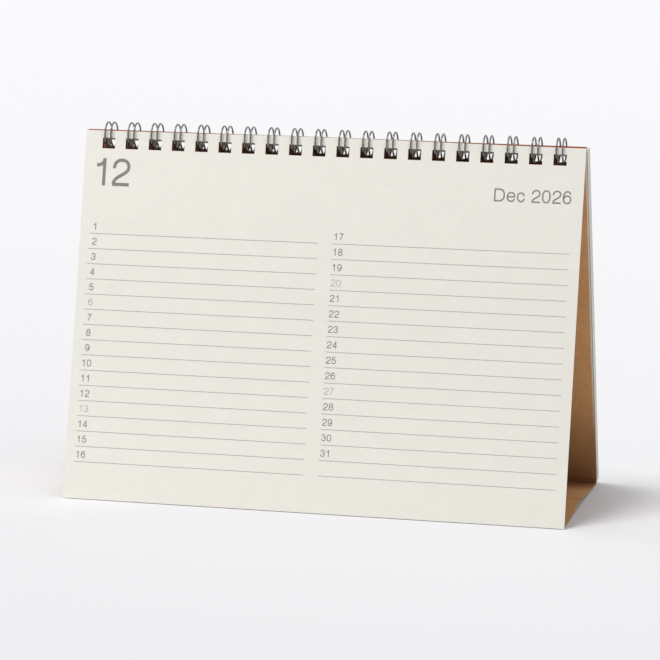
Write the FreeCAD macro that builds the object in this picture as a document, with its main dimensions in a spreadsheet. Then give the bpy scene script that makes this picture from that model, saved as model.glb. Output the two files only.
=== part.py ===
"""Desk calendar: a folded kraft stand, a twin-loop wire binding and its sheets.

The frame stands on the table: +Z up, +X along the width, the front faces -Y.
The origin lies on the table, at the middle of the calendar's footprint.
Both panels and every sheet are laid out from the centre line of the wire's loops:
a depth is a distance from that line square to the piece, and a rise is how far the
piece's top edge stands above the line, measured along the piece.
"""
import FreeCAD, Part
import Sketcher
import os
import re

V = FreeCAD.Vector

# name, value in millimetres or degrees, what it is
SIZES = [
    ("sheet_width", 178.0, "width of every sheet"),
    ("sheet_height", 129.5, "height of every sheet"),
    ("sheet_thick", 0.2, "thickness of one sheet"),
    ("flipped_count", 12, "sheets turned over to the back"),
    ("board_thick", 0.6, "thickness of the stand's kraft board"),
    ("board_inset", 0.1, "how far the board stops short of a sheet's side edge"),
    ("front_lean", 13.4, "lean of the front panel and sheet from upright"),
    ("back_lean", 17.2, "lean of the back panel and turned sheets"),
    ("crease_rise", 1.9, "how far the crease in the base springs up"),
    ("foot_flat", 3.0, "part of the base at each fold that lies on the table"),
    ("hole_pitch", 25.4 / 3, "spacing of the punched holes"),
    ("hole_width", 4.6, "width of a punched hole"),
    ("hole_height", 3.8, "height of a punched hole"),
    ("hole_margin", 2.5, "from a top edge down to its holes"),
    ("end_margin", 6.0, "least distance from a side edge to a hole's middle"),
    ("wire_dia", 0.7, "diameter of the wire"),
    ("wire_slip", 0.3, "how far the loops lie to the left in their holes"),
    ("pair_spacing", 2.15, "spacing of the two wires of one loop"),
    ("bend_radius", 0.7, "radius of the bend from a loop to the spine"),
    ("spine_angle", 9.5, "where a loop leaves the spine, behind straight down"),
    ("tip_angle", 30.0, "where a loop's tip starts, before straight down"),
    ("sheet_rise", 0.8, "rise of the front sheet's top edge"),
    ("board_rise", 1.15, "rise of the front panel's top edge"),
    ("flipped_gap", 0.15, "from the back panel to the turned sheets"),
    ("turn_gap", 0.25, "clearance of a turning sheet past the turned ones"),
    ("front_gap", 1.1, "from the front panel to the front sheet"),
    ("wire_gap", 0.1, "least clearance of the wire in a sheet's hole"),
    ("seat_gap", 0.2, "from the wire down to the back panel's holes"),
    ("table_gap", 0.5, "how far the front sheet hangs clear of the table"),
]

doc = FreeCAD.newDocument("desk_calendar")
sizes = doc.addObject("Spreadsheet::Sheet", "Sizes")
for row, (name, value, meaning) in enumerate(SIZES, start=1):
    sizes.set(f"A{row}", meaning)
    sizes.set(f"B{row}", repr(value))
    sizes.setAlias(f"B{row}", name)
doc.recompute()

NAMES = re.compile(r"\b(" + "|".join(name for name, _, _ in SIZES) + r")\b")

# ---- places worked out from the sizes -------------------------------------------

HOLE_COUNT = "(floor((sheet_width - 2 * end_margin) / hole_pitch) + 1)"
FIRST_HOLE = f"(-({HOLE_COUNT} - 1) * hole_pitch / 2)"

BOARD_WIDTH = "(sheet_width - 2 * board_inset)"
STACK_THICK = "(flipped_count * sheet_thick)"
STACK_IN = "(board_thick / 2 + flipped_gap)"
STACK_OUT = f"({STACK_IN} + {STACK_THICK})"
SHEET_IN = f"({STACK_OUT} + turn_gap)"
SHEET_OUT = f"({SHEET_IN} + sheet_thick)"
PANEL_OUT = f"({SHEET_IN} - front_gap)"
PANEL_IN = f"({PANEL_OUT} - board_thick)"

# The front sheet's holes hang on the wire, and so do the outermost turned sheet's.
HOLE_DROP = "(hole_margin - sheet_rise)"
LOOP = f"(sqrt({SHEET_OUT}^2 + {HOLE_DROP}^2) + wire_gap + wire_dia / 2)"
STACK_RISE = f"(hole_margin - sqrt({SHEET_OUT}^2 + {HOLE_DROP}^2 - {STACK_OUT}^2))"
BACK_RISE = f"(hole_margin + hole_height - {LOOP} - wire_dia / 2 - seat_gap)"

HANG = "(sheet_height - sheet_rise)"
STACK_HANG = f"(sheet_height - {STACK_RISE})"
LOOP_Z = f"(table_gap + {HANG} * cos(front_lean) - {SHEET_IN} * sin(front_lean))"
FRONT_REACH = f"({SHEET_OUT} * cos(front_lean) + {HANG} * sin(front_lean))"
BACK_REACH = f"({STACK_OUT} * cos(back_lean) + {STACK_HANG} * sin(back_lean))"
LOOP_Y = f"(({FRONT_REACH} - {BACK_REACH}) / 2)"

# The two panels' inner faces come down to the base's upper face along these lines.
FRONT_FALL = (f"(({LOOP_Z} + {PANEL_IN} * sin(front_lean) - board_thick)"
              " / cos(front_lean))")
BACK_FALL = (f"(({LOOP_Z} - board_thick / 2 * sin(back_lean) - board_thick)"
             " / cos(back_lean))")
FRONT_FOLD = (f"({LOOP_Y} - {PANEL_IN} * cos(front_lean)"
              f" - {FRONT_FALL} * sin(front_lean))")
BACK_FOLD = (f"({LOOP_Y} - board_thick / 2 * cos(back_lean)"
             f" + {BACK_FALL} * sin(back_lean))")


def bind(thing, prop, text):
    """Set a property by an expression written in the names of the sizes."""
    thing.setExpression(prop, NAMES.sub(r"<<Sizes>>.\1", text))


def place(thing, across, depth, height, turn, about=V(1, 0, 0)):
    """Bind a piece's place and its turn about one axis."""
    thing.Placement = FreeCAD.Placement(V(0, 0, 0), FreeCAD.Rotation(about, 1))
    bind(thing, "Placement.Base.x", across)
    bind(thing, "Placement.Base.y", depth)
    bind(thing, "Placement.Base.z", height)
    bind(thing, "Placement.Rotation.Angle", turn)


# ---- panels and sheets ----------------------------------------------------------

def plane_sketch(body, name, role, offset):
    """A sketch on one of the body's own origin planes."""
    sketch = body.newObject("Sketcher::SketchObject", name)
    plane = next(part for part in body.Origin.OriginFeatures if part.Role == role)
    sketch.AttachmentSupport = [(plane, "")]
    sketch.MapMode = "FlatFace"
    bind(sketch, "AttachmentOffset.Base.z", offset)
    return sketch


def outline(sketch, corners):
    """A closed outline through corners given as pairs of expressions."""
    count = len(corners)
    rough = [V(10 * (i < 1 or i >= count / 2), i, 0) for i in range(count)]
    for start in range(count):
        end = (start + 1) % count
        sketch.addGeometry(Part.LineSegment(rough[start], rough[end]))
    for start in range(count):
        end = (start + 1) % count
        sketch.addConstraint(Sketcher.Constraint("Coincident", start, 2, end, 1))
    for line, pair in enumerate(corners):
        for kind, text in zip(("DistanceX", "DistanceY"), pair):
            index = sketch.addConstraint(
                Sketcher.Constraint(kind, -1, 1, line, 1, 1.0))
            bind(sketch, f"Constraints[{index}]", text)


def box_corners(left, right, low, high):
    return [(left, low), (right, low), (right, high), (left, high)]


def punched_panel(label, turn, width, near, thick, rise, fall):
    """A flat piece in a body of its own, punched with a row of holes.

    It is drawn upright round the loops' centre line, from near backwards, then
    leant about that line.
    """
    body = doc.addObject("PartDesign::Body", label)
    flat = plane_sketch(body, f"{label}_outline", "XZ_Plane", f"-({near})")
    outline(flat, box_corners(f"-{width} / 2", f"{width} / 2", f"-{fall}", rise))
    pad = body.newObject("PartDesign::Pad", f"{label}_pad")
    pad.Profile = flat
    pad.Reversed = True
    bind(pad, "Length", thick)

    slot = plane_sketch(body, f"{label}_slot", "XZ_Plane", f"-({near})")
    outline(slot, box_corners(
        f"{FIRST_HOLE} - hole_width / 2", f"{FIRST_HOLE} + hole_width / 2",
        f"{rise} - hole_margin - hole_height", f"{rise} - hole_margin"))
    hole = body.newObject("PartDesign::Pocket", f"{label}_hole")
    hole.Profile = slot
    hole.Type = "ThroughAll"
    hole.SideType = "Symmetric"

    row = body.newObject("PartDesign::LinearPattern", f"{label}_row")
    body.Tip = row
    row.Originals = [hole]
    row.Direction = (slot, ["H_Axis"])
    bind(row, "Length", f"({HOLE_COUNT} - 1) * hole_pitch")
    bind(row, "Occurrences", HOLE_COUNT)
    place(body, "0", LOOP_Y, LOOP_Z, turn)
    return body


# ---- the stand ------------------------------------------------------------------

def base_panel():
    """The base: flat beside each fold and sprung up to a crease half way."""
    body = doc.addObject("PartDesign::Body", "stand_base")
    side = plane_sketch(body, "stand_base_side", "YZ_Plane", "0")
    middle = f"({FRONT_FOLD} + {BACK_FOLD}) / 2"
    low = [
        (FRONT_FOLD, "0"),
        (f"{FRONT_FOLD} + foot_flat", "0"),
        (middle, "crease_rise"),
        (f"{BACK_FOLD} - foot_flat", "0"),
        (BACK_FOLD, "0"),
    ]
    high = [(across, f"{up} + board_thick") for across, up in reversed(low)]
    outline(side, low + high)
    pad = body.newObject("PartDesign::Pad", "stand_base_pad")
    pad.Profile = side
    pad.SideType = "Symmetric"
    bind(pad, "Length", BOARD_WIDTH)
    return body


def fold(name, where, start, sweep):
    """The rounded outside of a fold, a sector about the fold's inner line."""
    sector = doc.addObject("Part::Cylinder", name)
    bind(sector, "Radius", "board_thick")
    bind(sector, "Height", BOARD_WIDTH)
    bind(sector, "Angle", sweep)
    across = f"-{BOARD_WIDTH} / 2"
    bind(sector, "Placement",
         f"placement(vector({across}; {where}; board_thick);"
         f" rotation(vector(1; 0; 0); {start}) * rotation(vector(0; 1; 0); 90))")
    return sector


front_panel = punched_panel("stand_front", "-front_lean", BOARD_WIDTH,
                            f"-{PANEL_OUT}", "board_thick", "board_rise", FRONT_FALL)
back_panel = punched_panel("stand_back", "back_lean", BOARD_WIDTH,
                           "-board_thick / 2", "board_thick", BACK_RISE, BACK_FALL)
base = base_panel()
front_fold = fold("stand_front_fold", FRONT_FOLD, "-(90 + front_lean)", "90 + front_lean")
back_fold = fold("stand_back_fold", BACK_FOLD, "0", "90 + back_lean")

stand = doc.addObject("Part::MultiFuse", "stand")
stand.Shapes = [front_panel, back_panel, base, front_fold, back_fold]
stand.Refine = True
stand.Label = "stand"

# ---- the sheets -----------------------------------------------------------------

front_sheet = punched_panel("front_sheet", "-front_lean", "sheet_width",
                            f"-{SHEET_OUT}", "sheet_thick", "sheet_rise", HANG)
flipped_sheets = punched_panel("flipped_sheets", "back_lean", "sheet_width",
                               STACK_IN, STACK_THICK, STACK_RISE, STACK_HANG)

# ---- the wire binding -----------------------------------------------------------
# Angles round a loop are measured from straight down, positive to the rear.

LEG = "(pair_spacing / 2)"
BEND_X = f"({LEG} + bend_radius)"
LINK = f"(hole_pitch / 2 - {BEND_X})"


def ring_y(angle):
    return f"({LOOP} * sin({angle}))"


def ring_z(angle):
    return f"(-{LOOP} * cos({angle}))"


def wire_arc(body, name, radius, sweep, across, angle, turns):
    """A bent length of wire: part of a torus about a point on the loop."""
    arc = body.newObject("PartDesign::AdditiveTorus", name)
    bind(arc, "Radius1", radius)
    bind(arc, "Radius2", "wire_dia / 2")
    bind(arc, "Angle3", sweep)
    at = "0; 0" if angle is None else f"{ring_y(angle)}; {ring_z(angle)}"
    bind(arc, "Placement", f"placement(vector({across}; {at}); {turns})")
    return arc


def about(axis, angle):
    return f"rotation(vector({axis}); {angle})"


def spine_link(body, name, left):
    """Straight wire along the spine, half the way to the next loop."""
    link = body.newObject("PartDesign::AdditiveCylinder", name)
    bind(link, "Radius", "wire_dia / 2")
    bind(link, "Height", LINK)
    back = f"{ring_y('spine_angle')} - bend_radius * cos(spine_angle)"
    down = f"{ring_z('spine_angle')} - bend_radius * sin(spine_angle)"
    bind(link, "Placement",
         f"placement(vector({left}; {back}; {down}); {about('0; 1; 0', 90)})")
    return link


def wire():
    """One loop between two half links, repeated along the top edge."""
    body = doc.addObject("PartDesign::Body", "wire_binding")
    lean_in = about("1; 0; 0", "spine_angle")
    upright = about("0; 1; 0", 90)
    arc_sweep = "360 - tip_angle - spine_angle"
    pieces = [
        spine_link(body, "wire_link_left", "-hole_pitch / 2"),
        wire_arc(body, "wire_bend_left", "bend_radius", "90", f"-{BEND_X}",
                 "spine_angle", f"{lean_in} * {about('1; 0; 0', 180)}"),
        wire_arc(body, "wire_leg_left", LOOP, arc_sweep, f"-{LEG}", None,
                 f"{lean_in} * {upright}"),
        wire_arc(body, "wire_tip", LEG, "180", "0", "-tip_angle",
                 about("1; 0; 0", "-tip_angle")),
        wire_arc(body, "wire_leg_right", LOOP, arc_sweep, LEG, None,
                 f"{lean_in} * {upright}"),
        wire_arc(body, "wire_bend_right", "bend_radius", "90", BEND_X,
                 "spine_angle", f"{lean_in} * {about('0; 0; 1', 180)}"),
        spine_link(body, "wire_link_right", BEND_X),
    ]
    row = body.newObject("PartDesign::LinearPattern", "wire_row")
    body.Tip = row
    row.Originals = pieces
    row.TransformMode = "Whole shape"
    axis = next(part for part in body.Origin.OriginFeatures if part.Role == "X_Axis")
    row.Direction = (axis, [""])
    bind(row, "Length", f"({HOLE_COUNT} - 1) * hole_pitch")
    bind(row, "Occurrences", HOLE_COUNT)
    place(body, f"{FIRST_HOLE} - wire_slip", LOOP_Y, LOOP_Z, "0")
    return body


wire_binding = wire()
doc.recompute()

# ---- export ---------------------------------------------------------------------

for thing in doc.Objects:
    if "Invalid" in thing.State or "Error" in thing.State:
        raise RuntimeError(f"{thing.Label} does not compute: {thing.State}")

os.makedirs("parts", exist_ok=True)
for thing in (stand, wire_binding, front_sheet, flipped_sheets):
    shape = thing.Shape
    if shape.isNull() or not shape.isValid() or len(shape.Solids) != 1:
        raise RuntimeError(f"{thing.Label} is not one sound solid")
    shape.exportStep(f"parts/{thing.Label}.step")
    box = shape.BoundBox
    print(f"{thing.Label}: volume {shape.Volume:.1f}"
          f" x {box.XMin:.2f} {box.XMax:.2f} y {box.YMin:.2f} {box.YMax:.2f}"
          f" z {box.ZMin:.2f} {box.ZMax:.2f}")
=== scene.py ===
"""Desk calendar: sheets, print, wire, finishes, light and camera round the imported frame."""
from math import cos, pi, radians, sin

import bmesh
import bpy
from bpy.props import FloatProperty, FloatVectorProperty, IntProperty, PointerProperty
from mathutils import Matrix, Vector


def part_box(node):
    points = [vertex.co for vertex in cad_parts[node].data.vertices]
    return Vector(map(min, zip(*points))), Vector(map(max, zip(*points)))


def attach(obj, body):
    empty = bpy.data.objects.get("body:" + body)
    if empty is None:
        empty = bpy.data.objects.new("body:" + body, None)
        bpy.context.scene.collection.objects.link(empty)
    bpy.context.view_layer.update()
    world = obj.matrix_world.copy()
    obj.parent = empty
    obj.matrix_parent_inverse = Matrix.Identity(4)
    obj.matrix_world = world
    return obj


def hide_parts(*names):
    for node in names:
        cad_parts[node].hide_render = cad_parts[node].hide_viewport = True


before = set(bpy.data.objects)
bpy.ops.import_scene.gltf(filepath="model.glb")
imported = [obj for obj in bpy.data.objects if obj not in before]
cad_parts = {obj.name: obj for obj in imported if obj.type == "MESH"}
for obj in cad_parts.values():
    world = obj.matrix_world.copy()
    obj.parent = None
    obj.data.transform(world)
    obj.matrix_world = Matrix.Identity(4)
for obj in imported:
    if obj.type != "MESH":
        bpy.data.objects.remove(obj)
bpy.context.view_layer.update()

bl_info = {
    "name": "Desk calendar",
    "version": (1, 0, 0),
    "blender": (4, 5, 0),
    "location": "3D View > Sidebar > Calendar",
    "description": "Builds the sheets, the print, the wire and the finishes of a desk calendar",
    "category": "Object",
}

MM = 0.001


# ---- sizes and colours ----------------------------------------------------------

def length(name, default, what):
    return FloatProperty(name=name, description=what, default=default, unit="LENGTH",
                         precision=5)


def angle(name, degrees, what):
    return FloatProperty(name=name, description=what, default=radians(degrees),
                         subtype="ANGLE", unit="ROTATION")


def colour(name, default, what):
    return FloatVectorProperty(name=name, description=what, default=default, size=3,
                               subtype="COLOR", min=0.0, max=1.0)


class SheetSizes(bpy.types.PropertyGroup):
    lean: angle("Front lean", 13.4, "Lean of the front sheet from upright")
    back_lean: angle("Back lean", 17.2, "Lean of the turned sheets from upright")
    height: length("Height", 129.5 * MM, "Height of a sheet")
    thickness: length("Thickness", 0.2 * MM, "Thickness of one sheet")
    pitch: length("Hole pitch", 25.4 / 3 * MM, "Spacing of the punched holes")
    hole_width: length("Hole width", 4.6 * MM, "Width of a punched hole")
    hole_height: length("Hole height", 3.8 * MM, "Height of a punched hole")
    hole_margin: length("Hole margin", 2.5 * MM, "From the top edge down to the holes")
    holes: IntProperty(name="Holes", description="Number of punched holes", default=20)
    crown: length("Crown", 0.45 * MM, "Rise of a sheet's top edge half way along")
    dip: length("Dip", 0.15 * MM, "How far the front sheet's top edge drops to the right")
    shift: length("Shift", 0.18 * MM, "How far the front sheet's side edges lie to the right")
    overhang: length("Overhang", 0.35 * MM, "Extra length at the front sheet's foot")
    turned: IntProperty(name="Turned sheets", description="Sheets turned to the back",
                        default=12, min=1)
    fan: length("Fan", 0.15 * MM, "How far the turned sheets spread at their lower edges")
    skew: length("Skew", 0.45 * MM, "How far the last turned sheets stand out to the right")


class WireSizes(bpy.types.PropertyGroup):
    diameter: length("Diameter", 0.62 * MM, "Diameter of the wire as it is drawn")
    pair: length("Pair spacing", 2.15 * MM, "Spacing of the two wires of one loop")
    bend: length("Bend radius", 0.7 * MM, "Radius of the bend from a loop to the spine")
    slip: length("Slip", 0.3 * MM, "How far the loops lie to the left in their holes")
    spine: angle("Spine angle", 9.5, "Where a loop leaves the spine, behind straight down")
    tip: angle("Tip angle", 30, "Where a loop's tip starts, before straight down")


class PrintSizes(bpy.types.PropertyGroup):
    ink_height: length("Ink height", 0.03 * MM, "How far the print stands proud")
    line_width: length("Line width", 0.19 * MM, "Width of a ruled line")
    line_pitch: length("Line pitch", 5.3607 * MM, "Spacing of the ruled lines")
    first_line: length("First line", 93.03 * MM, "Height of the first ruled line")
    left_start: length("Left start", -85.62 * MM, "Start of the left column")
    right_start: length("Right start", 2.43 * MM, "Start of the right column")
    line_length: length("Line length", 83.0 * MM, "Length of a ruled line")
    day_em: length("Day size", 3.52 * MM, "Type size of the day numbers")
    month_em: length("Month size", 6.46 * MM, "Type size of the month's name")
    number_em: length("Number size", 13.87 * MM, "Type size of the month's number")
    heading: length("Heading", 110.05 * MM, "Height of the number's and the month's feet")


class Finishes(bpy.types.PropertyGroup):
    paper: colour("Paper", (0.838, 0.815, 0.745), "Colour of the sheets")
    board: colour("Board", (0.74, 0.435, 0.195), "Colour of the kraft board")
    board_edge: colour("Board edge", (0.46, 0.30, 0.18), "Colour of the board's cut edge")
    wire: colour("Wire", (0.185, 0.187, 0.172), "Colour of the enamelled wire")
    ink: colour("Ink", (0.242, 0.245, 0.228), "Colour of the grey print")
    day_ink: colour("Day ink", (0.27, 0.27, 0.255), "Colour of the day numbers")
    pale_ink: colour("Pale ink", (0.50, 0.49, 0.46), "Colour of the lighter print")
    line_ink: colour("Line ink", (0.38, 0.37, 0.345), "Colour of the ruled lines")
    floor: colour("Floor", (0.669, 0.669, 0.682), "Colour of the floor")


class Calendar(bpy.types.PropertyGroup):
    sheets: PointerProperty(type=SheetSizes)
    binding: PointerProperty(type=WireSizes)
    printing: PointerProperty(type=PrintSizes)
    finishes: PointerProperty(type=Finishes)


def settings():
    return bpy.context.scene.calendar


# ---- materials ------------------------------------------------------------------

class Nodes:
    """Short ways to add and join shader nodes in one tree."""

    def __init__(self, tree):
        self.tree = tree

    def add(self, kind, **values):
        node = self.tree.nodes.new(kind)
        for name, value in values.items():
            setattr(node, name, value)
        return node

    def join(self, source, target):
        self.tree.links.new(source, target)

    def object_point(self):
        return self.add("ShaderNodeTexCoord").outputs["Object"]

    def split(self, vector):
        """A vector's X, Y and Z."""
        node = self.add("ShaderNodeSeparateXYZ")
        self.join(vector, node.inputs[0])
        return node.outputs["X"], node.outputs["Y"], node.outputs["Z"]

    def noise(self, vector, scale, detail, roughness=0.5):
        node = self.add("ShaderNodeTexNoise")
        node.inputs["Scale"].default_value = scale
        node.inputs["Detail"].default_value = detail
        node.inputs["Roughness"].default_value = roughness
        self.join(vector, node.inputs["Vector"])
        return node.outputs["Fac"]

    def stretch(self, vector, scale, turn=(0.0, 0.0, 0.0)):
        """Coordinates scaled along each axis, and then turned."""
        node = self.add("ShaderNodeMapping")
        node.inputs["Scale"].default_value = scale
        node.inputs["Rotation"].default_value = turn
        self.join(vector, node.inputs["Vector"])
        return node.outputs["Vector"]

    def spread(self, value, low, high, out_low=0.0, out_high=1.0):
        """A value carried from the range low..high to another, and kept inside it."""
        node = self.add("ShaderNodeMapRange")
        for name, number in (("From Min", low), ("From Max", high),
                             ("To Min", out_low), ("To Max", out_high)):
            node.inputs[name].default_value = number
        self.join(value, node.inputs["Value"])
        return node.outputs["Result"]

    def near(self, point, centre, outer, inner):
        """A mask round a centre: 0 from the outer radius on, 1 inside the inner one."""
        node = self.add("ShaderNodeVectorMath", operation="DISTANCE")
        self.join(point, node.inputs[0])
        node.inputs[1].default_value = centre
        return self.spread(node.outputs["Value"], outer, inner)

    def math(self, kind, first, second=None):
        node = self.add("ShaderNodeMath", operation=kind)
        for socket, value in zip(node.inputs, (first, second)):
            if value is None:
                continue
            if isinstance(value, (int, float)):
                socket.default_value = value
            else:
                self.join(value, socket)
        return node.outputs["Value"]

    def product(self, first, *others):
        for other in others:
            first = self.math("MULTIPLY", first, other)
        return first

    def grey(self, level):
        """A level as a grey colour."""
        node = self.add("ShaderNodeCombineColor")
        for socket in node.inputs[:3]:
            self.join(level, socket)
        return node.outputs[0]

    def mix(self, factor, first, second, kind="MIX"):
        node = self.add("ShaderNodeMix", data_type="RGBA", blend_type=kind)
        for socket, value in ((node.inputs[0], factor), (node.inputs[6], first),
                              (node.inputs[7], second)):
            if isinstance(value, (int, float)):
                socket.default_value = value
            elif isinstance(value, (tuple, list)):
                socket.default_value = (*value, 1.0)
            else:
                self.join(value, socket)
        return node.outputs[2]


def new_group(name, sockets):
    """A shader node group with named inputs and outputs, and the makers for its nodes."""
    tree = bpy.data.node_groups.new(name, "ShaderNodeTree")
    for label, direction, kind, default in sockets:
        socket = tree.interface.new_socket(label, in_out=direction, socket_type=kind)
        if default is not None:
            socket.default_value = default
    return Nodes(tree)


def fibre_group():
    """Pulp: cloudy mottling, fine fibres and the surface they raise."""
    make = new_group("pulp_fibres", [
        ("Colour", "INPUT", "NodeSocketColor", (0.8, 0.8, 0.8, 1.0)),
        ("Mottle", "INPUT", "NodeSocketFloat", 0.03),
        ("Fibre", "INPUT", "NodeSocketFloat", 0.03),
        ("Scale", "INPUT", "NodeSocketFloat", 1.0),
        ("Colour", "OUTPUT", "NodeSocketColor", None),
        ("Height", "OUTPUT", "NodeSocketFloat", None),
    ])
    given = make.add("NodeGroupInput").outputs
    result = make.add("NodeGroupOutput").inputs
    scaled = make.add("ShaderNodeVectorMath", operation="SCALE")
    make.join(make.object_point(), scaled.inputs[0])
    make.join(given["Scale"], scaled.inputs["Scale"])
    where = scaled.outputs["Vector"]
    cloud = make.spread(make.noise(where, 120.0, 3.0), 0.3, 0.7, -1.0, 1.0)
    across = make.noise(make.stretch(where, (700.0, 2600.0, 2600.0), (0.0, 0.3, 0.0)), 1.0, 3.0)
    along = make.noise(make.stretch(where, (2600.0, 2600.0, 700.0), (0.0, 0.2, 0.0)), 1.0, 3.0)
    fine = make.spread(make.product(across, along), 0.12, 0.40, -1.0, 1.0)
    shade = make.math("ADD", make.product(cloud, given["Mottle"]),
                      make.product(fine, given["Fibre"]))
    bright = make.grey(make.math("ADD", shade, 1.0))
    make.join(make.mix(1.0, given["Colour"], bright, "MULTIPLY"), result["Colour"])
    make.join(fine, result["Height"])


def new_material(name):
    """A material with a Principled shader and the makers for its nodes."""
    material = bpy.data.materials.new(name)
    material.use_nodes = True
    return material, Nodes(material.node_tree), material.node_tree.nodes["Principled BSDF"]


def times(tone, factor):
    """A colour made darker or lighter."""
    return tuple(factor * part for part in tone)


def pulp(make, tone, mottle, fibre, scale):
    """The colour and the surface height of pulp of one tone."""
    node = make.add("ShaderNodeGroup")
    node.node_tree = bpy.data.node_groups["pulp_fibres"]
    for name, value in (("Colour", (*tone, 1.0)), ("Mottle", mottle), ("Fibre", fibre),
                        ("Scale", scale)):
        node.inputs[name].default_value = value
    return node.outputs["Colour"], node.outputs["Height"]


def matt(shader, roughness, shine):
    shader.inputs["Roughness"].default_value = roughness
    shader.inputs["Specular IOR Level"].default_value = shine


def raise_surface(make, shader, height, distance):
    bump = make.add("ShaderNodeBump")
    bump.inputs["Strength"].default_value = 1.0
    bump.inputs["Distance"].default_value = distance
    make.join(height, bump.inputs["Height"])
    make.join(bump.outputs["Normal"], shader.inputs["Normal"])


# Painted light: the cut side edges of the turned sheets are painted nearly white.
CUT_PAPER_LIGHT = (0.97, 0.96, 0.91)
# Painted shade and painted light on the front page, standing in for the fall of the light.
PAGE_PAINTED_SHADE = 0.06            # how much deeper the page's tone grows from left to right
PAGE_PAINTED_LIGHT = 1.04            # how much paler the page grows towards its top,
PAINTED_LIGHT_FROM = 70.0 * MM       # from this height up


def paper_material(name, tone, painted_shade=0.0, cut_light=None):
    """Uncoated paper.

    A share of painted shade makes its tone that much deeper from left to right, and such
    paper also gets painted light, growing paler towards the top of the front sheet. A cut
    colour is painted on its side edges: paler than the paper, a painted light on them.
    """
    _, make, shader = new_material(name)
    shade, relief = pulp(make, tone, 0.012, 0.02, 1.0)
    # Painted shade growing deeper to the right, and painted light growing paler towards the top.
    if painted_shade:
        x, _, height = make.split(make.object_point())
        low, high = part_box("front_sheet")
        level = make.product(make.spread(x, low[0], high[0], 1.0, 1.0 - painted_shade),
                             make.spread(height, PAINTED_LIGHT_FROM, high[2], 1.0, PAGE_PAINTED_LIGHT))
        shade = make.mix(1.0, shade, make.grey(level), "MULTIPLY")
    # Painted light: the side edges are painted paler than the paper.
    if cut_light:
        sideways, _, _ = make.split(make.add("ShaderNodeTexCoord").outputs["Normal"])
        side = make.spread(make.math("ABSOLUTE", sideways), 0.7, 0.9)
        shade = make.mix(side, shade, cut_light)
    make.join(shade, shader.inputs["Base Color"])
    matt(shader, 0.85, 0.25)
    raise_surface(make, shader, relief, 0.012 * MM)


BOARD_THICKNESS = 0.6 * MM
DARK_FLECK = (0.20, 0.09, 0.035)
PALE_FLECK = (0.66, 0.43, 0.24)
# Painted shade in the crease of the base and at the scores of the back fold.
SCORE_SHADE = (0.10, 0.045, 0.02)
# Painted shade inside the stand, towards the back panel's foot and on the base.
INSIDE_SHADE = (0.20, 0.085, 0.032)
RIM_LEFT, RIM_RIGHT = (0.55, 0.30, 0.18), (0.40, 0.10, 0.03)
# Painted shade on the top edge and the hole walls, and on the board beside the holes.
HOLE_WALL_SHADE = (0.20, 0.045, 0.02)
HOLE_SHADE = (0.07, 0.016, 0.010)
MARGIN = (0.86, 0.87, 0.82)
# Painted shade on the board's cut ends above the base.
UPPER_END_SHADE = (0.05, 0.028, 0.018)


class BoardPlaces:
    """Where a point of the stand's board is, and which way it faces."""

    def __init__(self, make):
        self.low, self.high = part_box("stand")
        self.crease = (self.low[1] + self.high[1]) / 2
        self.fold = self.high[1] - BOARD_THICKNESS
        self.point = make.object_point()
        self.x, self.depth, self.height = make.split(self.point)
        self.off_middle = make.math("ABSOLUTE", self.x)
        normal = make.add("ShaderNodeTexCoord").outputs["Normal"]
        facing_x, facing_y, self.facing_z = make.split(normal)
        self.side = make.spread(make.math("ABSOLUTE", facing_x), 0.7, 0.9)
        self.level = make.spread(make.math("ABSOLUTE", self.facing_z), 0.7, 0.9)
        self.forward = make.spread(facing_y, -0.7, -0.85)
        self.on_base = make.spread(self.height, 4.0 * MM, 3.0 * MM)


def fleck(make, at, body):
    """Dark and light flecks in the pulp."""
    grain = make.stretch(at.point, (500.0, 1500.0, 1500.0), (0.2, 0.5, 0.1))
    flecks = make.noise(grain, 1.0, 4.0, 0.6)
    body = make.mix(make.product(make.spread(flecks, 0.62, 0.72), 0.30), body, DARK_FLECK)
    return make.mix(make.product(make.spread(flecks, 0.36, 0.28), 0.20), body, PALE_FLECK)


def score_line(make, coordinate, at, width):
    """A mask of one straight score, where a coordinate is near one value."""
    away = make.math("ABSOLUTE", make.math("SUBTRACT", coordinate, at))
    return make.spread(away, width / 2, 0.0)


def score(make, at, body):
    """Painted shade: a dark line along the crease of the base, and two at the scores of the back
    fold.
    """
    creased = make.product(score_line(make, at.depth, at.crease, 1.1 * MM), at.on_base)
    by_fold = make.product(make.spread(at.depth, at.fold - 3.2 * MM, at.fold - 2.4 * MM),
                           make.spread(at.height, 5.0 * MM, 4.0 * MM))
    folded = make.math("MAXIMUM", score_line(make, at.height, 0.75 * MM, 0.7 * MM),
                       score_line(make, at.height, 2.0 * MM, 0.8 * MM))
    score_shade_mask = make.math("MAXIMUM", creased, make.product(folded, by_fold))
    return make.mix(make.product(score_shade_mask, 0.75), body, SCORE_SHADE)


def shade_inside(make, at, body):
    """Painted shade: the back panel darker towards its foot, and the base darker too."""
    foot = make.product(make.spread(at.height, 42.0 * MM, 1.0 * MM),
                        make.spread(at.depth, at.fold - 18.0 * MM, at.fold - 6.0 * MM))
    body = make.mix(make.product(foot, 0.85), body, INSIDE_SHADE)
    return make.mix(make.product(at.on_base, at.level, 0.42), body, INSIDE_SHADE)


def shade_rim(make, at, body):
    """Tint the faces close below the top edge, from tan at the left to red-brown."""
    rim = make.spread(at.height, at.high[2] - 1.2 * MM, at.high[2] - 0.6 * MM)
    rightward = make.spread(at.x, at.low[0], at.high[0])
    return make.mix(rim, body, make.mix(rightward, RIM_LEFT, RIM_RIGHT))


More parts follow.
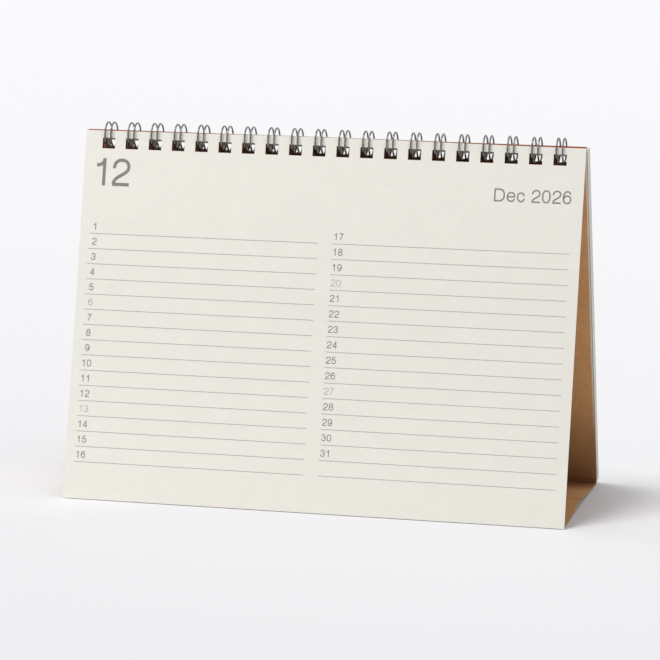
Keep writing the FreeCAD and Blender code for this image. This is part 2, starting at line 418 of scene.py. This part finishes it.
def shade_holes(make, at, body):
    """Painted shade on the top edge, on the walls of the punched holes and on what faces forward
    beside them.
    """
    walls = make.product(make.math("MAXIMUM", at.side, at.level),
                         make.math("GREATER_THAN", at.height, at.high[2] - 12.0 * MM))
    body = make.mix(walls, body, HOLE_WALL_SHADE)
    sheets = settings().sheets
    hole_side = sheets.hole_width / 2
    turns = make.math("DIVIDE", at.x, sheets.pitch)
    off_hole = make.math("ABSOLUTE", make.math("SUBTRACT", make.math("FRACT", turns), 0.5))
    beside = make.spread(make.product(off_hole, sheets.pitch),
                         hole_side + 0.75 * MM, hole_side + 0.55 * MM)
    in_row = make.math("LESS_THAN", at.off_middle, sheets.holes / 2 * sheets.pitch)
    foot = make.spread(at.height, at.high[2] - 7.6 * MM, at.high[2] - 7.2 * MM)
    top = make.spread(at.height, at.high[2] - 1.4 * MM, at.high[2] - 1.8 * MM)
    around = make.product(at.forward, beside, in_row, foot, top)
    return make.mix(make.product(around, 0.9), body, HOLE_SHADE)


def pale_margin(make, at, body):
    """A pale strip up the right edge of the back panel's inner face."""
    strip = make.product(make.spread(at.x, at.high[0] - 0.60 * MM, at.high[0] - 0.50 * MM),
                         make.spread(at.height, 20.0 * MM, 45.0 * MM))
    inward = make.product(at.forward, make.math("LESS_THAN", at.facing_z, 0.0))
    return make.mix(make.product(strip, inward), body, MARGIN)


def cut_ends(make, at, body, edge_tone):
    """The board's cut ends at left and right, with painted shade making them nearly black above
    the base.
    """
    outside = make.math("GREATER_THAN", at.off_middle, at.high[0] - 0.5 * MM)
    grain = make.noise(make.stretch(at.point, (300.0, 9000.0, 9000.0)), 1.0, 3.0)
    raw = make.mix(grain, times(edge_tone, 0.8), times(edge_tone, 1.15))
    raw = make.mix(at.on_base, UPPER_END_SHADE, raw)
    return make.mix(make.product(at.side, outside), body, raw)


def board_material(name, tone, edge_tone):
    """Kraft board: flecked, with painted shade at its scored folds and where its place on the
    stand shades it.
    """
    _, make, shader = new_material(name)
    body, relief = pulp(make, tone, 0.04, 0.07, 0.6)
    at = BoardPlaces(make)
    for change in (fleck, score, shade_inside, shade_rim, shade_holes, pale_margin):
        body = change(make, at, body)
    make.join(cut_ends(make, at, body, edge_tone), shader.inputs["Base Color"])
    matt(shader, 0.9, 0.15)
    raise_surface(make, shader, relief, 0.02 * MM)


def wire_material(name, tone):
    """Dark enamelled wire, worn a little brighter in fine specks."""
    _, make, shader = new_material(name)
    specks = make.noise(make.object_point(), 900.0, 4.0, 0.65)
    worn = make.mix(make.spread(specks, 0.45, 0.75), times(tone, 0.8), times(tone, 1.7))
    make.join(worn, shader.inputs["Base Color"])
    make.join(make.spread(specks, 0.3, 0.7, 0.22, 0.30), shader.inputs["Roughness"])
    shader.inputs["Metallic"].default_value = 1.0


def ink_material(name, tone):
    """Printed ink, laid a little unevenly on the pulp below it."""
    _, make, shader = new_material(name)
    shade, _ = pulp(make, tone, 0.03, 0.06, 1.3)
    make.join(shade, shader.inputs["Base Color"])
    matt(shader, 0.75, 0.25)


FLOOR_NEAR, FLOOR_FAR = -0.2, 2.0       # along Y, metres
# Painted light: the floor's brightness at shares of the way from the one to the other, growing
# towards the back.
FLOOR_LIGHT_STEPS = ((0.0, 0.965), (0.068, 1.0), (0.0909, 1.0), (0.1818, 1.0286),
               (0.3568, 1.0600), (1.0, 1.0875))
# Painted light: soft paler patches beside the stand, where they lift its shade: centre, radius
# and brightness.
FLOOR_LIGHT_PATCHES = (((-0.096, -0.012, 0.0), 55.0 * MM, 1.16),
                 ((0.125, 0.020, 0.0), 60.0 * MM, 1.10))
PATCH_CORE = 5.0 * MM       # a patch is at its full brightness within this radius


def floor_material(name, tone):
    """A matt floor with painted light: paler far back, and in soft patches beside the stand."""
    material, make, shader = new_material(name)
    where = make.object_point()
    _, depth, _ = make.split(where)
    ramp = make.add("ShaderNodeValToRGB")
    stops = ramp.color_ramp.elements
    for place, lift in FLOOR_LIGHT_STEPS:
        stop = stops[0] if place == 0.0 else stops[-1] if place == 1.0 else stops.new(place)
        stop.color = (*times(tone, lift), 1.0)
    make.join(make.spread(depth, FLOOR_NEAR, FLOOR_FAR), ramp.inputs["Fac"])
    shade = ramp.outputs["Color"]
    for centre, radius, lift in FLOOR_LIGHT_PATCHES:
        patch = make.near(where, centre, radius, PATCH_CORE)
        shade = make.mix(patch, shade, times(tone, lift))
    make.join(shade, shader.inputs["Base Color"])
    matt(shader, 0.95, 0.1)
    return material


def make_materials():
    fibre_group()
    tones = settings().finishes
    paper_material("sheet_paper", tones.paper, cut_light=CUT_PAPER_LIGHT)
    paper_material("page_paper", tones.paper, painted_shade=PAGE_PAINTED_SHADE)
    board_material("fibrous_board", tones.board, tones.board_edge)
    wire_material("binding_wire", tones.wire)
    ink_material("grey_ink", tones.ink)
    ink_material("day_ink", tones.day_ink)
    ink_material("pale_ink", tones.pale_ink)
    ink_material("line_ink", tones.line_ink)


def finish_with(piece, material):
    piece.data.materials.clear()
    piece.data.materials.append(bpy.data.materials[material])


# ---- placing --------------------------------------------------------------------

def clear_selection():
    if bpy.context.object and bpy.context.object.mode != "OBJECT":
        bpy.ops.object.mode_set(mode="OBJECT")
    bpy.ops.object.select_all(action="DESELECT")


def only(piece):
    clear_selection()
    piece.select_set(True)
    bpy.context.view_layer.objects.active = piece


def apply_place(piece, matrix):
    """Put a piece drawn in a flat layout at its place, and keep that in its mesh."""
    piece.matrix_world = matrix
    only(piece)
    bpy.ops.object.transform_apply(location=True, rotation=True, scale=True)


def place_layout(up, out, corner):
    """A flat layout's place: X across, Y along up, Z along out, its origin at corner."""
    columns = (Vector((1.0, 0.0, 0.0)), up, out, corner)
    matrix = Matrix.Identity(4)
    for row in range(3):
        for column, vector in enumerate(columns):
            matrix[row][column] = vector[row]
    return matrix


def front_face():
    """The front sheet's printed face: X across, Y up the sheet, Z out of the paper."""
    sizes = settings().sheets
    low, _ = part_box("front_sheet")
    lean = sizes.lean
    up = Vector((0.0, sin(lean), cos(lean)))
    out = Vector((0.0, -cos(lean), sin(lean)))
    corner = Vector((0.0, low[1], low[2] + sizes.thickness * sin(lean)))
    return place_layout(up, out, corner)


def hand_over(piece, node, material, body):
    """Let a finished piece stand for its plain node."""
    finish_with(piece, material)
    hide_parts(node)
    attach(piece, body)


def thicken(piece, thickness, offset):
    walls = piece.modifiers.new("thickness", "SOLIDIFY")
    walls.thickness = thickness
    walls.offset = offset
    only(piece)
    bpy.ops.object.modifier_apply(modifier=walls.name)


# ---- sheets ---------------------------------------------------------------------

ROWS = (12, 24, 40, 60, 85, 110)    # cuts across a sheet below its holes, millimetres
EDGE_BAND = 0.5 * MM                # a vertex this close to a sheet's foot or side is on it
SLACK = 1.005                       # the turned sheets are drawn this much longer
DRAWN_THICKNESS = 0.85              # share of a turned sheet's thickness that is drawn
MOST_SLIP = 0.12 * MM               # most that a turned sheet slides to either side
MOST_DROP = 0.15 * MM               # most that a turned sheet hangs higher or lower
SKEWED_SHEETS = 2                   # how many of the last turned sheets stand out
SKEW_LOSS = 0.6                     # share of the skew that is lost at a sheet's foot


def punched_sheet(name, wide):
    """A flat sheet and its row of holes: X across, its top edge near Y = 0."""
    sizes = settings().sheets
    tall = sizes.height
    clear_selection()
    bpy.ops.mesh.primitive_plane_add(size=1.0)
    sheet = bpy.context.object
    sheet.name = name
    sheet.data.transform(Matrix.Diagonal((wide, tall, 1.0, 1.0)))
    sheet.data.transform(Matrix.Translation((0.0, -tall / 2, 0.0)))
    hole_top = -sizes.hole_margin
    hole_foot = hole_top - sizes.hole_height
    first = -(sizes.holes - 1) / 2 * sizes.pitch
    bpy.ops.object.mode_set(mode="EDIT")
    for down in (hole_top, hole_foot, *(-row * MM for row in ROWS)):
        bpy.ops.mesh.select_all(action="SELECT")
        bpy.ops.mesh.bisect(plane_co=(0, down, 0), plane_no=(0, 1, 0))
    for hole in range(sizes.holes):
        for side in (-1, 1):
            at = first + hole * sizes.pitch + side * sizes.hole_width / 2
            bpy.ops.mesh.select_all(action="SELECT")
            bpy.ops.mesh.bisect(plane_co=(at, 0, 0), plane_no=(1, 0, 0))
    mesh = bmesh.from_edit_mesh(sheet.data)
    for face in mesh.faces:
        middle = face.calc_center_median()
        step = (middle.x - first) / sizes.pitch
        near = abs(step - round(step)) * sizes.pitch < sizes.hole_width / 2
        face.select = near and hole_foot < middle.y < hole_top
    bmesh.update_edit_mesh(sheet.data)
    bpy.ops.mesh.delete(type="FACE")
    mesh = bmesh.from_edit_mesh(sheet.data)
    for vertex in mesh.verts:
        if vertex.co.y > hole_top / 2:
            vertex.co.y += sizes.crown * cos(pi * vertex.co.x / wide) ** 2
    bmesh.update_edit_mesh(sheet.data)
    bpy.ops.object.mode_set(mode="OBJECT")
    return sheet


# ---- lettering ------------------------------------------------------------------
# Each character is a few pen strokes in a box one unit wide and one high: the first
# point, then curves as (handle, handle, end) or straight runs as (end,).

STROKES = {
    "0": (0.66, [[(0.5, 1), ((0.12, 1), (0, 0.80), (0, 0.5)), ((0, 0.20), (0.12, 0), (0.5, 0)),
                  ((0.88, 0), (1, 0.20), (1, 0.5)), ((1, 0.80), (0.88, 1), (0.5, 1))]]),
    "1": (0.37, [[(1, -0.06), ((1, 1.06),)],
                 [(-0.13, 0.775), ((0.45, 0.78), (0.92, 0.83), (0.99, 1.02))]]),
    "2": (0.69, [[(0.03, 0.66), ((0.03, 0.88), (0.22, 1), (0.52, 1)),
                  ((0.82, 1), (0.98, 0.88), (0.98, 0.71)),
                  ((0.98, 0.40), (0.08, 0.38), (0.0, 0.03))],
                 [(-0.06, 0), ((1.04, 0),)]]),
    "3": (0.66, [[(0.04, 0.72), ((0.05, 0.90), (0.22, 1), (0.49, 1)),
                  ((0.78, 1), (0.94, 0.90), (0.94, 0.755)),
                  ((0.94, 0.60), (0.80, 0.535), (0.55, 0.535)), ((0.38, 0.535),)],
                 [(0.50, 0.535), ((0.86, 0.535), (1, 0.42), (1, 0.27)),
                  ((1, 0.10), (0.80, 0), (0.50, 0)), ((0.20, 0), (0.01, 0.11), (0, 0.30))]]),
    "4": (0.68, [[(0.74, -0.06), ((0.74, 1.04),)], [(0.70, 0.99), ((0.0, 0.26),)],
                 [(-0.04, 0.24), ((1.02, 0.24),)]]),
    "5": (0.66, [[(0.93, 1), ((0.17, 1),)],
                 [(0.20, 1), ((0.07, 0.46),)],
                 [(0.07, 0.48), ((0.20, 0.60), (0.36, 0.64), (0.52, 0.64)),
                  ((0.82, 0.64), (1, 0.51), (1, 0.32)), ((1, 0.12), (0.80, 0), (0.49, 0)),
                  ((0.20, 0), (0.02, 0.10), (0, 0.29))]]),
    "6": (0.66, [[(0.94, 0.75), ((0.90, 0.92), (0.76, 1), (0.54, 1)),
                  ((0.18, 1), (0, 0.78), (0, 0.44)), ((0, 0.13), (0.20, 0), (0.50, 0)),
                  ((0.80, 0), (1, 0.12), (1, 0.32)), ((1, 0.51), (0.82, 0.63), (0.54, 0.63)),
                  ((0.25, 0.63), (0.03, 0.52), (0.0, 0.33))]]),
    "7": (0.64, [[(-0.05, 1), ((1.04, 1),)],
                 [(0.99, 0.98), ((0.66, 0.70), (0.40, 0.34), (0.34, -0.05))]]),
    "8": (0.66, [[(0.5, 1), ((0.22, 1), (0.07, 0.90), (0.07, 0.77)),
                  ((0.07, 0.64), (0.22, 0.54), (0.5, 0.54)),
                  ((0.78, 0.54), (0.93, 0.64), (0.93, 0.77)),
                  ((0.93, 0.90), (0.78, 1), (0.5, 1))],
                 [(0.5, 0.54), ((0.18, 0.54), (0, 0.43), (0, 0.27)),
                  ((0, 0.11), (0.18, 0), (0.5, 0)), ((0.82, 0), (1, 0.11), (1, 0.27)),
                  ((1, 0.43), (0.82, 0.54), (0.5, 0.54))]]),
    "9": (0.66, [[(0.06, 0.25), ((0.10, 0.08), (0.24, 0), (0.46, 0)),
                  ((0.82, 0), (1, 0.22), (1, 0.56)), ((1, 0.87), (0.80, 1), (0.50, 1)),
                  ((0.20, 1), (0, 0.88), (0, 0.68)), ((0, 0.49), (0.18, 0.37), (0.46, 0.37)),
                  ((0.75, 0.37), (0.97, 0.48), (1.0, 0.67))]]),
    "D": (0.83, [[(0, -0.05), ((0, 1.05),)],
                 [(0, 1), ((0.42, 1),), ((0.82, 1), (1, 0.82), (1, 0.5)),
                  ((1, 0.18), (0.82, 0), (0.42, 0)), ((0, 0),)]]),
    "e": (0.66, [[(0.02, 0.385), ((1.0, 0.385),), ((1, 0.62), (0.82, 0.735), (0.51, 0.735)),
                  ((0.18, 0.735), (0, 0.60), (0, 0.37)), ((0, 0.13), (0.20, 0), (0.53, 0)),
                  ((0.78, 0), (0.93, 0.09), (0.97, 0.23))]]),
    "c": (0.62, [[(0.96, 0.49), ((0.92, 0.65), (0.76, 0.735), (0.52, 0.735)),
                  ((0.18, 0.735), (0, 0.60), (0, 0.37)), ((0, 0.13), (0.20, 0), (0.52, 0)),
                  ((0.78, 0), (0.94, 0.10), (0.98, 0.27))]]),
}
# Advance and left bearing of each character, in thousandths of the type size.
ADVANCE = {"D": 722, "e": 556, "c": 500, " ": 278}
BEARING = {"1": 101, "D": 81, "e": 40, "c": 30}
DIGIT_ADVANCE, DIGIT_BEARING = 556, 38      # of the digits not named above
DIGIT_HEIGHT = 0.703
STROKE_LIFT = 0.004 * MM    # each stroke of a letter lies this much above the one before


def advance(letter):
    """How far a character moves the pen on, as a share of the type size."""
    return ADVANCE.get(letter, DIGIT_ADVANCE) / 1000


def bearing(letter):
    """The space to the left of a character, as a share of the type size."""
    return BEARING.get(letter, DIGIT_BEARING) / 1000


def draw_stroke(curve, stroke, spot):
    """Add one pen stroke to a curve. spot turns a point of a letter's box into a place."""
    spline = curve.splines.new("BEZIER")
    spline.bezier_points.add(len(stroke) - 1)
    knots = spline.bezier_points
    for knot in knots:
        knot.handle_left_type = knot.handle_right_type = "FREE"
    knots[0].co = knots[0].handle_left = knots[0].handle_right = spot(stroke[0])
    for index, run in enumerate(stroke[1:], start=1):
        end = spot(run[-1])
        knots[index].co = knots[index].handle_right = end
        if len(run) == 3:
            knots[index - 1].handle_right = spot(run[0])
            knots[index].handle_left = spot(run[1])
        else:
            before = knots[index - 1].co
            knots[index - 1].handle_right = before.lerp(end, 1 / 3)
            knots[index].handle_left = end.lerp(before, 1 / 3)


def draw_letter(curve, letter, left, baseline, em, pen):
    """Add a character's strokes to a curve. left is where its advance begins."""
    wide, strokes = STROKES[letter]
    height = DIGIT_HEIGHT * em
    start = left + bearing(letter) * em
    for order, stroke in enumerate(strokes):
        def spot(place, lift=order * STROKE_LIFT):
            return Vector((start + pen / 2 + place[0] * (wide * height - pen),
                           baseline + pen / 2 + place[1] * (height - pen), lift))

        draw_stroke(curve, stroke, spot)


def flat_pen(name, width):
    """A straight line across, to be drawn along the strokes."""
    bpy.ops.curve.primitive_bezier_curve_add()
    profile = bpy.context.object
    profile.name = name
    points = profile.data.splines[0].bezier_points
    for point, across in zip(points, (-width / 2, width / 2)):
        point.handle_left_type = point.handle_right_type = "VECTOR"
        point.co = (across, 0.0, 0.0)
    profile.data.resolution_u = 1
    clear_selection()
    return profile


def lettering(name, entries, em, weight, tracking=0.0):
    """Pen strokes of even width for lines of text, as one flat mesh.

    entries are (text, left, baseline) in the sheet's layout, weight is the width of a
    stroke as a share of a digit's height.
    """
    pen = weight * (DIGIT_HEIGHT * em)
    profile = flat_pen(f"{name}_pen", pen)
    curve = bpy.data.curves.new(name, "CURVE")
    curve.dimensions = "3D"
    curve.twist_mode = "Z_UP"
    curve.resolution_u = 8
    curve.bevel_mode = "OBJECT"
    curve.bevel_object = profile
    for text, left, baseline in entries:
        pen_x = left
        for letter in text:
            if letter in STROKES:
                draw_letter(curve, letter, pen_x, baseline, em, pen)
            pen_x += advance(letter) * em + tracking
    piece = bpy.data.objects.new(name, curve)
    bpy.context.collection.objects.link(piece)
    only(piece)
    bpy.ops.object.convert(target="MESH")
    piece = bpy.context.object
    bpy.data.objects.remove(profile)
    return piece


def lay_print(piece, ink):
    """Give flat print its thickness, and lay it on the front sheet."""
    only(piece)
    bpy.ops.object.mode_set(mode="EDIT")
    bpy.ops.mesh.select_all(action="SELECT")
    bpy.ops.mesh.remove_doubles(threshold=0.001 * MM)
    mesh = bmesh.from_edit_mesh(piece.data)
    mesh.normal_update()
    for face in mesh.faces:
        if face.normal.z < 0:
            face.normal_flip()
    bmesh.update_edit_mesh(piece.data)
    bpy.ops.object.mode_set(mode="OBJECT")
    bpy.ops.object.shade_flat()
    thicken(piece, settings().printing.ink_height, 1.0)
    finish_with(piece, ink)
    apply_place(piece, front_face())
    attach(piece, "leaf")


# ---- operators ------------------------------------------------------------------

LINES = 16                          # ruled lines in each of the two columns
DAY_MIDDLES = (-83.42 * MM, 4.62 * MM)      # middle of the day numbers in each column
DAY_RAISE = 1.30 * MM               # from a ruled line up to the foot of its number
PALE_DAYS = (6, 13, 20, 27)         # the Sundays of December 2026
NUMBER_LEFT = -84.5 * MM            # left side of the month's number
MONTH_LEFT = 58.3 * MM              # left side of the month's name
# Width of a pen stroke as a share of a digit's height.
DAY_WEIGHT, PALE_WEIGHT, NUMBER_WEIGHT, MONTH_WEIGHT = 0.125, 0.115, 0.118, 0.112
NUMBER_TRACKING = -0.9 * MM         # extra space between the month's two digits


class PrintRules(bpy.types.Operator):
    """Ruled lines in two columns of sixteen"""
    bl_idname = "calendar.print_rules"
    bl_label = "Ruled lines"

    def execute(self, context):
        sizes = settings().printing
        clear_selection()
        middle = sizes.left_start + sizes.line_length / 2
        bpy.ops.mesh.primitive_plane_add(size=1.0, location=(0.0, 0.0, 0.0))
        piece = context.object
        piece.name = "ruled_lines"
        piece.data.transform(Matrix.Diagonal((sizes.line_length, sizes.line_width, 1.0, 1.0)))
        piece.data.transform(Matrix.Translation((middle, sizes.first_line, 0.0)))
        columns_apart = sizes.right_start - sizes.left_start
        for label, count, step in (("down", LINES, (0.0, -sizes.line_pitch, 0.0)),
                                   ("across", 2, (columns_apart, 0.0, 0.0))):
            rows = piece.modifiers.new(label, "ARRAY")
            rows.count = count
            rows.use_relative_offset = False
            rows.use_constant_offset = True
            rows.constant_offset_displace = step
            only(piece)
            bpy.ops.object.modifier_apply(modifier=rows.name)
        lay_print(piece, "line_ink")
        return {"FINISHED"}


class PrintNumbers(bpy.types.Operator):
    """Day numbers, the month's number and its name"""
    bl_idname = "calendar.print_numbers"
    bl_label = "Numbers and month"

    def execute(self, context):
        sizes = settings().printing
        em = sizes.day_em
        days = {"grey": [], "pale": []}
        for day in range(1, 32):
            column, row = divmod(day - 1, LINES)
            text = str(day)
            left = DAY_MIDDLES[column] - sum(advance(letter) for letter in text) * em / 2
            baseline = sizes.first_line - row * sizes.line_pitch + DAY_RAISE
            tone = "pale" if day in PALE_DAYS else "grey"
            days[tone].append((text, left, baseline))
        lay_print(lettering("day_numbers", days["grey"], em, DAY_WEIGHT), "day_ink")
        lay_print(lettering("day_numbers_pale", days["pale"], em, PALE_WEIGHT), "pale_ink")
        em = sizes.number_em
        entry = ("12", NUMBER_LEFT - bearing("1") * em, sizes.heading)
        lay_print(lettering("month_number", [entry], em, NUMBER_WEIGHT, NUMBER_TRACKING),
                  "grey_ink")
        em = sizes.month_em
        entry = ("Dec 2026", MONTH_LEFT - bearing("D") * em, sizes.heading)
        lay_print(lettering("month_name", [entry], em, MONTH_WEIGHT), "grey_ink")
        return {"FINISHED"}


class FrontSheet(bpy.types.Operator):
    """The sheet that hangs in front, its top edge bowed up a little"""
    bl_idname = "calendar.front_sheet"
    bl_label = "Front sheet"

    def execute(self, context):
        sizes = settings().sheets
        low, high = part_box("front_sheet")
        wide = high[0] - low[0]
        sheet = punched_sheet("calendar_page", wide)
        for vertex in sheet.data.vertices:
            across, down, _ = vertex.co
            if down > -sizes.hole_margin / 2:
                vertex.co.y -= sizes.dip * (0.5 + across / wide)
            if down < -sizes.height + EDGE_BAND:
                vertex.co.y -= sizes.overhang
            if abs(across) > wide / 2 - EDGE_BAND:
                vertex.co.x += sizes.shift
        thicken(sheet, sizes.thickness, -1.0)
        apply_place(sheet, front_face() @ Matrix.Translation((0.0, sizes.height, 0.0)))
        hand_over(sheet, "front_sheet", "page_paper", "leaf")
        return {"FINISHED"}


class TurnedSheets(bpy.types.Operator):
    """Sheets turned over to the back, fanned a little as they hang"""
    bl_idname = "calendar.turned_sheets"
    bl_label = "Turned sheets"

    def execute(self, context):
        sizes = settings().sheets
        low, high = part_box("flipped_sheets")
        pattern = punched_sheet("turned_sheets", high[0] - low[0])
        stack = [self.hang(pattern, number) for number in range(sizes.turned)]
        bpy.data.objects.remove(pattern)
        clear_selection()
        for sheet in stack:
            sheet.select_set(True)
        context.view_layer.objects.active = stack[0]
        bpy.ops.object.join()
        piece = context.object
        piece.name = "turned_stack"
        thicken(piece, DRAWN_THICKNESS * sizes.thickness, 0.0)
        lean = sizes.back_lean
        up = Vector((0.0, -sin(lean), cos(lean)))
        out = Vector((0.0, cos(lean), sin(lean)))
        top = Vector((0.0, low[1], high[2] - sizes.turned * sizes.thickness * sin(lean)))
        apply_place(piece, place_layout(up, out, top))
        hand_over(piece, "flipped_sheets", "sheet_paper", "base")
        return {"FINISHED"}

    def hang(self, pattern, number):
        """One sheet at its depth in the stack, counted from the panel outwards."""
        sizes = settings().sheets
        sheet = pattern.copy()
        sheet.data = pattern.data.copy()
        bpy.context.collection.objects.link(sheet)
        share = (number + 0.5) / sizes.turned
        # Sines of the number place the sheets unevenly, and alike in every run.
        slip = MOST_SLIP * sin(2.4 * number + 0.6)
        drop = MOST_DROP * sin(1.7 * number + 1.1)
        skew = sizes.skew if number >= sizes.turned - SKEWED_SHEETS else 0.0
        for vertex in sheet.data.vertices:
            across, down, _ = vertex.co
            far = min(-down / sizes.height, 1.0)
            depth = share * (sizes.turned * sizes.thickness + sizes.fan * max(far, 0.0))
            vertex.co = (across + slip + skew * (1.0 - SKEW_LOSS * far),
                         down * SLACK + drop, depth)
        return sheet


# Straight pieces in a bend, round the ring and round the tip of a loop.
BEND_STEPS, RING_STEPS, TIP_STEPS = 5, 44, 10


class BindingWire(bpy.types.Operator):
    """The twin-loop wire, one continuous bent length"""
    bl_idname = "calendar.binding_wire"
    bl_label = "Wire"

    def execute(self, context):
        holes = settings().sheets.holes
        curve = bpy.data.curves.new("twin_loop_wire", "CURVE")
        curve.dimensions = "3D"
        curve.bevel_depth = settings().binding.diameter / 2
        curve.bevel_resolution = 4
        curve.use_fill_caps = True
        route = [point for number in range(holes) for point in self.loop(number)]
        spline = curve.splines.new("POLY")
        spline.points.add(len(route) - 1)
        for point, place in zip(spline.points, route):
            point.co = (*place, 1.0)
        piece = bpy.data.objects.new("twin_loop_wire", curve)
        context.collection.objects.link(piece)
        only(piece)
        bpy.ops.object.convert(target="MESH")
        bpy.ops.object.shade_smooth_by_angle(angle=radians(40))
        hand_over(context.object, "wire_binding", "binding_wire", "base")
        return {"FINISHED"}

    def loop(self, number):
        """The route of one loop, from the spine at its left to the spine at its right."""
        wire, sheets = settings().binding, settings().sheets
        low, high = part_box("wire_binding")
        outside = (high[1] - low[1]) / 2
        centre = Vector((0.0, (low[1] + high[1]) / 2, high[2] - outside))
        centre.x = (number - (sheets.holes - 1) / 2) * sheets.pitch - wire.slip
        radius = outside - wire.diameter / 2
        leg = wire.pair / 2

        def ring(across, turn):
            return centre + Vector((across, radius * sin(turn), -radius * cos(turn)))

        along = Vector((0.0, cos(wire.spine), sin(wire.spine)))
        ways = []
        for step in range(BEND_STEPS + 1):
            turn = pi / 2 * step / BEND_STEPS
            ways.append(ring(-leg - wire.bend * cos(turn), wire.spine)
                        - along * (wire.bend * (1.0 - sin(turn))))
        sweep = 2 * pi - wire.tip - wire.spine
        ways += [ring(-leg, wire.spine + sweep * step / RING_STEPS)
                 for step in range(1, RING_STEPS)]
        tip = Vector((0.0, cos(wire.tip), -sin(wire.tip)))
        for step in range(TIP_STEPS + 1):
            turn = pi * step / TIP_STEPS
            ways.append(ring(-leg * cos(turn), -wire.tip) + tip * (leg * sin(turn)))
        mirrored = [Vector((2 * centre.x - place.x, place.y, place.z))
                    for place in reversed(ways[:-TIP_STEPS - 1])]
        return ways + mirrored


class FinishFrame(bpy.types.Operator):
    """Finishes for the stand, the wire, the front sheet and the turned sheets"""
    bl_idname = "calendar.finish_frame"
    bl_label = "Finishes"

    def execute(self, context):
        for node, material in (("stand", "fibrous_board"), ("wire_binding", "binding_wire"),
                               ("front_sheet", "sheet_paper"), ("flipped_sheets", "sheet_paper")):
            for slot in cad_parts[node].material_slots:
                slot.material = bpy.data.materials[material]
        return {"FINISHED"}


# The room's light: its level all round, and what it gains upwards and to the right.
ROOM_LEVEL, ROOM_UPWARD, ROOM_RIGHT = 0.32, 0.72, 0.05
ROOM_TONE = (1.0, 1.0, 1.015)
BACKDROP = (0.925, 0.925, 0.94)     # what the camera and reflections see of the room
SUN_POWER, SUN_SPREAD = 1.8, 24     # watts per square metre, degrees
SUN_TONE = (1.0, 0.997, 0.985)
SUN_FROM = (-0.30, -0.26, 0.917)
LENS, SENSOR = 181.09, 36.0         # millimetres
CAMERA_PLACE = (0.26547, -1.12066, 0.26557)
# How far the camera is turned, tilted down and rolled, degrees.
CAMERA_PAN, CAMERA_DROP, CAMERA_ROLL = 13.412, 10.221, 0.45


class Stage(bpy.types.Operator):
    """Floor, backdrop, soft light and camera"""
    bl_idname = "calendar.stage"
    bl_label = "Stage"

    def execute(self, context):
        self.floor(context)
        self.room(context)
        self.sun(context)
        self.camera(context)
        return {"FINISHED"}

    def floor(self, context):
        clear_selection()
        bpy.ops.mesh.primitive_plane_add(size=8.0, location=(0.0, 2.0, 0.0))
        piece = context.object
        piece.name = "floor"
        bpy.ops.object.transform_apply(location=True)
        piece.data.materials.append(floor_material("pale_floor", settings().finishes.floor))

    def room(self, context):
        """Soft light that grows upwards, and the backdrop that shows in its place."""
        world = bpy.data.worlds.new("soft_room")
        world.use_nodes = True
        context.scene.world = world
        make = Nodes(world.node_tree)
        background = world.node_tree.nodes["Background"]
        path = make.add("ShaderNodeLightPath")
        seen = make.math("MAXIMUM", path.outputs["Is Camera Ray"],
                         make.math("MAXIMUM", path.outputs["Is Glossy Ray"],
                                   path.outputs["Is Transmission Ray"]))
        right, _, above = make.split(make.add("ShaderNodeTexCoord").outputs["Generated"])
        slope = make.math("ADD", make.product(right, ROOM_RIGHT),
                          make.product(above, ROOM_UPWARD))
        level = make.math("ADD", slope, ROOM_LEVEL)
        light = make.mix(level, (0.0, 0.0, 0.0), ROOM_TONE)
        make.join(make.mix(seen, light, BACKDROP), background.inputs["Color"])
        background.inputs["Strength"].default_value = 1.0

    def sun(self, context):
        sun = bpy.data.lights.new("key", "SUN")
        sun.energy = SUN_POWER
        sun.angle = radians(SUN_SPREAD)
        sun.color = SUN_TONE
        lamp = bpy.data.objects.new("key", sun)
        lamp.rotation_mode = "QUATERNION"
        lamp.rotation_quaternion = Vector(SUN_FROM).to_track_quat("Z", "Y")
        context.collection.objects.link(lamp)

    def camera(self, context):
        lens = bpy.data.cameras.new("camera")
        lens.lens = LENS
        lens.sensor_width = SENSOR
        lens.clip_start, lens.clip_end = 0.05, 50.0
        camera = bpy.data.objects.new("camera", lens)
        camera.rotation_mode = "QUATERNION"
        pan = Matrix.Rotation(radians(CAMERA_PAN), 4, "Z")
        tilt = Matrix.Rotation(radians(90 - CAMERA_DROP), 4, "X")
        roll = Matrix.Rotation(radians(CAMERA_ROLL), 4, "Z")
        camera.rotation_quaternion = (pan @ tilt @ roll).to_quaternion()
        camera.location = CAMERA_PLACE
        context.collection.objects.link(camera)
        context.scene.camera = camera
        context.scene.view_settings.view_transform = "Standard"


class CalendarPanel(bpy.types.Panel):
    """Sizes, colours and building steps of the desk calendar"""
    bl_idname = "VIEW3D_PT_calendar"
    bl_label = "Desk calendar"
    bl_space_type = "VIEW_3D"
    bl_region_type = "UI"
    bl_category = "Calendar"

    def draw(self, context):
        layout = self.layout
        for group in (settings().sheets, settings().binding, settings().printing,
                      settings().finishes):
            box = layout.box()
            for name in group.bl_rna.properties.keys():
                if name not in ("rna_type", "name"):
                    box.prop(group, name)
        for step in STEPS:
            layout.operator(step.bl_idname)


STEPS = (FinishFrame, FrontSheet, TurnedSheets, BindingWire, PrintRules, PrintNumbers, Stage)
CLASSES = (SheetSizes, WireSizes, PrintSizes, Finishes, Calendar, *STEPS, CalendarPanel)


def register():
    for each in CLASSES:
        bpy.utils.register_class(each)
    bpy.types.Scene.calendar = PointerProperty(type=Calendar)


def unregister():
    del bpy.types.Scene.calendar
    for each in reversed(CLASSES):
        bpy.utils.unregister_class(each)


def main():
    register()
    make_materials()
    bpy.ops.calendar.finish_frame()
    bpy.ops.calendar.front_sheet()
    bpy.ops.calendar.turned_sheets()
    bpy.ops.calendar.binding_wire()
    bpy.ops.calendar.print_rules()
    bpy.ops.calendar.print_numbers()
    bpy.ops.calendar.stage()


if __name__ == "__main__":
    main()
